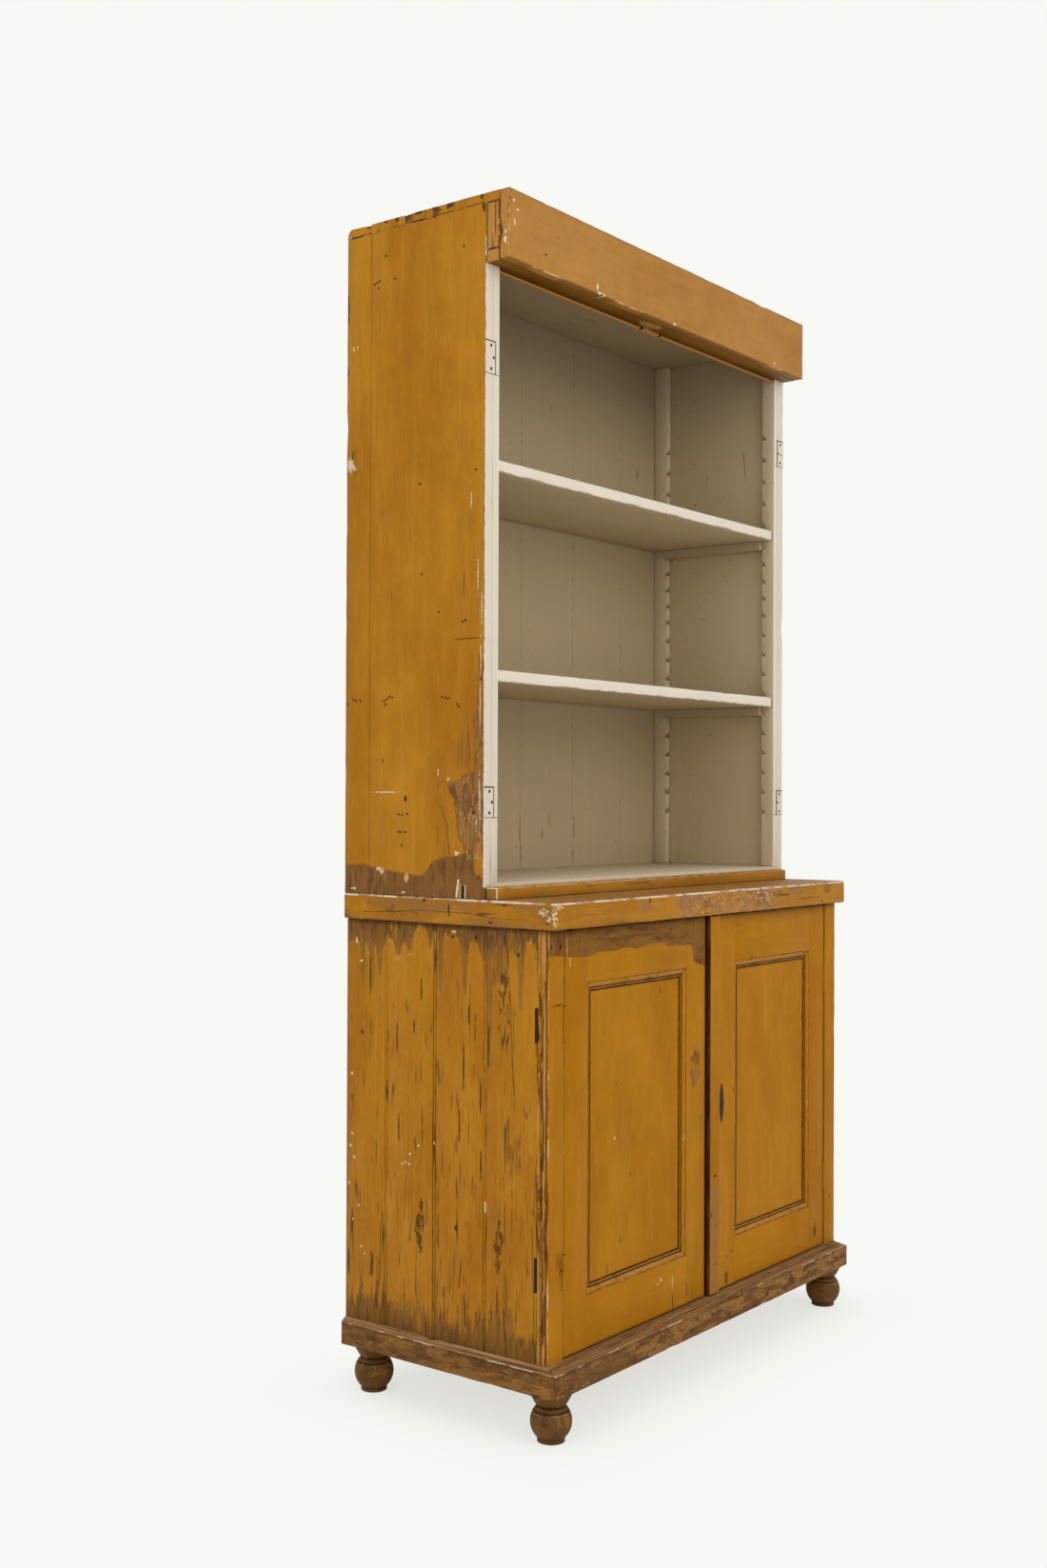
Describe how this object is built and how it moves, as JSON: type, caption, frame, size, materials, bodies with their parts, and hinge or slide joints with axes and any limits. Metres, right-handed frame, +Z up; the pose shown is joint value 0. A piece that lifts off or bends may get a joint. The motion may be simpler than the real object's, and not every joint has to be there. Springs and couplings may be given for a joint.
{
  "type": "shop cabinet",
  "caption": "Painted shop cabinet: panelled cupboard base on turned feet with a deep-topped open shelf section and adjustable shelves on notched racks.",
  "frame": {"origin": "on the floor, under the middle of the cabinet's bounding box", "axes": "+Z up, the doors face -Y, +X to the right of a person facing the doors"},
  "size_m": [1.048, 0.484, 2.11],
  "materials": {
    "ochre_paint": "old worn ochre paint on pine",
    "fascia_paint": "lighter ochre paint, satin",
    "worn_edge_paint": "ochre paint chipped to brown wood and white ground",
    "turned_feet_paint": "brown worn paint",
    "cream_paint": "old cream paint, matt",
    "bare_pine": "aged bare pine",
    "dark_iron": "dark iron"
  },
  "bodies": {
    "cabinet": {"foot_front_left": "turned_feet_paint", "foot_front_right": "turned_feet_paint", "foot_rear_left": "turned_feet_paint", "foot_rear_right": "turned_feet_paint", "foot_blocks": "bare_pine", "plinth_front": "worn_edge_paint", "plinth_left": "worn_edge_paint", "plinth_right": "worn_edge_paint", "base_floor": "bare_pine", "base_side_left": "ochre_paint", "base_side_right": "ochre_paint", "corner_stile_left": "ochre_paint", "corner_stile_right": "ochre_paint", "base_top_rails": "bare_pine", "base_back": "bare_pine", "base_shelf": "bare_pine", "base_shelf_cleats": "bare_pine", "worktop": "worn_edge_paint", "hinge_fixed_leaves": "dark_iron", "hinge_pins": "dark_iron", "upper_side_left": "ochre_paint", "upper_side_right": "ochre_paint", "upper_top": "ochre_paint", "upper_ceiling": "cream_paint", "upper_floor": "cream_paint", "upper_back": "cream_paint", "fascia_board": "fascia_paint", "fascia_returns": "ochre_paint", "soffit_strip": "ochre_paint", "head_rail": "ochre_paint", "catch_block": "ochre_paint", "foot_rail": "ochre_paint", "front_racks": "cream_paint", "back_racks": "cream_paint", "lower_shelf_bearers": "cream_paint", "upper_shelf_bearers": "cream_paint", "old_hinge_leaves": "cream_paint"},
    "left_door": {"left_door_hinge_stile": "ochre_paint", "left_door_meeting_stile": "ochre_paint", "left_door_top_rail": "ochre_paint", "left_door_bottom_rail": "ochre_paint", "left_door_panel": "ochre_paint", "left_door_moulding": "ochre_paint", "left_door_hinge_leaves": "dark_iron", "slide_bolt_guides": "dark_iron"},
    "right_door": {"right_door_hinge_stile": "ochre_paint", "right_door_meeting_stile": "ochre_paint", "right_door_top_rail": "ochre_paint", "right_door_bottom_rail": "ochre_paint", "right_door_panel": "ochre_paint", "right_door_moulding": "ochre_paint", "right_door_hinge_leaves": "dark_iron", "cover_batten": "ochre_paint", "escutcheon": "dark_iron", "lock_case": "dark_iron"},
    "lock_bolt": {"lock_bolt": "dark_iron"},
    "top_slide_bolt": {"slide_bolt_top": "dark_iron"},
    "bottom_slide_bolt": {"slide_bolt_bottom": "dark_iron"},
    "lower_shelf": {"lower_shelf": "cream_paint"},
    "upper_shelf": {"upper_shelf": "cream_paint"}
  },
  "joints": [
    {"name": "left_door_hinge", "type": "hinge", "parent": "cabinet", "child": "left_door", "pos_m": [-0.4675, -0.217, 0.4925], "axis": [0, 0, -1], "range_deg": [0, 110]},
    {"name": "right_door_hinge", "type": "hinge", "parent": "cabinet", "child": "right_door", "pos_m": [0.464, -0.217, 0.4925], "axis": [0, 0, 1], "range_deg": [0, 110]},
    {"name": "lock_bolt_slide", "type": "slide", "parent": "right_door", "child": "lock_bolt", "axis": [-1, 0, 0], "range_m": [0, 0.015]},
    {"name": "top_bolt_slide", "type": "slide", "parent": "left_door", "child": "top_slide_bolt", "axis": [0, 0, 1], "range_m": [0, 0.012]},
    {"name": "bottom_bolt_slide", "type": "slide", "parent": "left_door", "child": "bottom_slide_bolt", "axis": [0, 0, -1], "range_m": [0, 0.012]},
    {"name": "lower_shelf_slide", "type": "slide", "parent": "cabinet", "child": "lower_shelf", "axis": [0, -1, 0], "range_m": [0, 0.12]},
    {"name": "upper_shelf_slide", "type": "slide", "parent": "cabinet", "child": "upper_shelf", "axis": [0, -1, 0], "range_m": [0, 0.12]}
  ]
}
